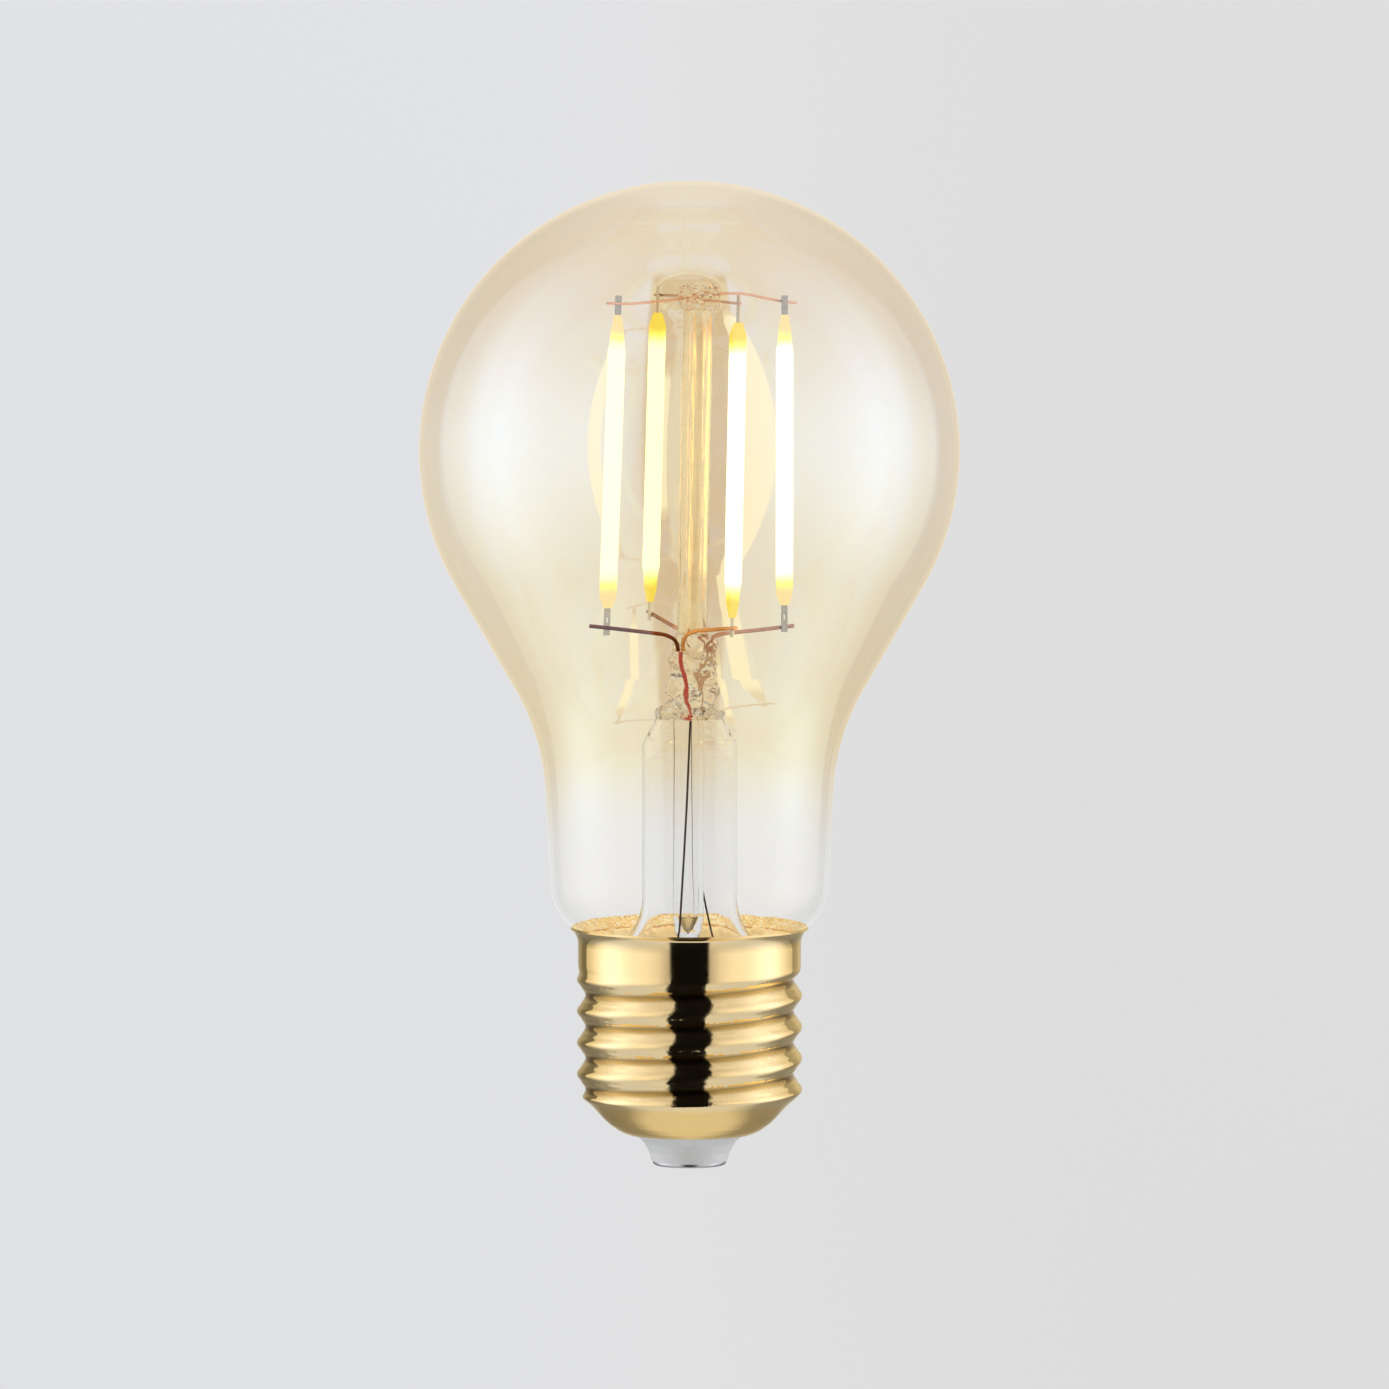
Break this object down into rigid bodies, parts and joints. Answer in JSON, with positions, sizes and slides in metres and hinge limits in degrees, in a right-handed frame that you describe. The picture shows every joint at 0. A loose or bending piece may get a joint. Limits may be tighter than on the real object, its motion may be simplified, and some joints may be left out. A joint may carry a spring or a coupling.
{
  "type": "smart light bulb",
  "caption": "Screw-in smart light bulb: pear-shaped amber glass envelope, glass stem carrying upright LED filaments on wire arms, gold screw cap with hidden driver and radio module.",
  "frame": {"origin": "centre of the bottom face of the centre contact, the lowest point of the bulb, on its axis", "axes": "+Z along the bulb's axis from the contact to the crown, -Y towards the front view, +X to the right in that view"},
  "size_m": [0.0618, 0.0618, 0.113],
  "materials": {
    "amber_glass": "clear champagne-amber lustre coating, high gloss",
    "clear_glass": "clear drawn glass",
    "pressed_glass": "clear melted glass with ripples",
    "link_wire": "copper-plated wire, satin",
    "arm_wire": "dark oxidised copper-plated wire",
    "dumet": "red oxide copper, glossy under glass",
    "lead_wire": "dark oxidised nickel wire",
    "phosphor": "silicone with yellow phosphor, lit",
    "filament_ceramic": "white ceramic strip",
    "filament_tab": "plated steel tab",
    "led_chip": "LED chips",
    "gold_shell": "polished pale gold plating",
    "insulator": "off-white moulded insulator",
    "contact_metal": "plain nickel-plated metal",
    "cement": "pinkish-tan basing cement",
    "sleeve_plastic": "white insulating film",
    "circuit_board": "green solder mask",
    "chip_black": "moulded black epoxy",
    "resistor_body": "painted resistor body",
    "capacitor_sleeve": "sleeved aluminium can",
    "ferrite": "ferrite drum",
    "copper_winding": "enamelled copper wire",
    "chip_ceramic": "chip resistors and capacitors",
    "shield_steel": "tinned steel can",
    "header_metal": "gold-flashed pins",
    "antenna_jacket": "black insulated wire",
    "live_jacket": "red insulated wire",
    "neutral_metal": "tinned wire"
  },
  "bodies": {
    "root": {"antenna_wire": "antenna_jacket", "basing_cement": "cement", "bridge_rectifier": "chip_black", "cap_insulator": "insulator", "centre_post": "clear_glass", "chip_parts": "chip_ceramic", "contact_eyelet": "contact_metal", "contact_pin": "contact_metal", "dimmer_chip": "chip_black", "driver_chip": "chip_black", "driver_pcb": "circuit_board", "dumet_wire_1": "dumet", "dumet_wire_2": "dumet", "exhaust_tube": "clear_glass", "filament_1_coating": "phosphor", "filament_1_led_chips": "led_chip", "filament_1_substrate": "filament_ceramic", "filament_1_tabs": "filament_tab", "filament_2_coating": "phosphor", "filament_2_led_chips": "led_chip", "filament_2_substrate": "filament_ceramic", "filament_2_tabs": "filament_tab", "filament_3_coating": "phosphor", "filament_3_led_chips": "led_chip", "filament_3_substrate": "filament_ceramic", "filament_3_tabs": "filament_tab", "filament_4_coating": "phosphor", "filament_4_led_chips": "led_chip", "filament_4_substrate": "filament_ceramic", "filament_4_tabs": "filament_tab", "fusible_resistor": "resistor_body", "glass_envelope": "amber_glass", "inductor_core": "ferrite", "inductor_winding": "copper_winding", "input_capacitor": "capacitor_sleeve", "insulating_sleeve": "sleeve_plastic", "link_wire_1": "link_wire", "link_wire_2": "link_wire", "live_wire": "live_jacket", "module_header_pins": "header_metal", "neutral_wire": "neutral_metal", "outer_lead_1": "lead_wire", "outer_lead_2": "lead_wire", "output_capacitor": "capacitor_sleeve", "post_button": "pressed_glass", "screw_shell": "gold_shell", "stem_flare": "clear_glass", "stem_press_seal": "pressed_glass", "support_arm_1": "arm_wire", "support_arm_2": "arm_wire", "support_arm_3": "arm_wire", "support_arm_4": "arm_wire", "wifi_module_pcb": "circuit_board", "wifi_module_shield": "shield_steel"}
  },
  "joints": []
}
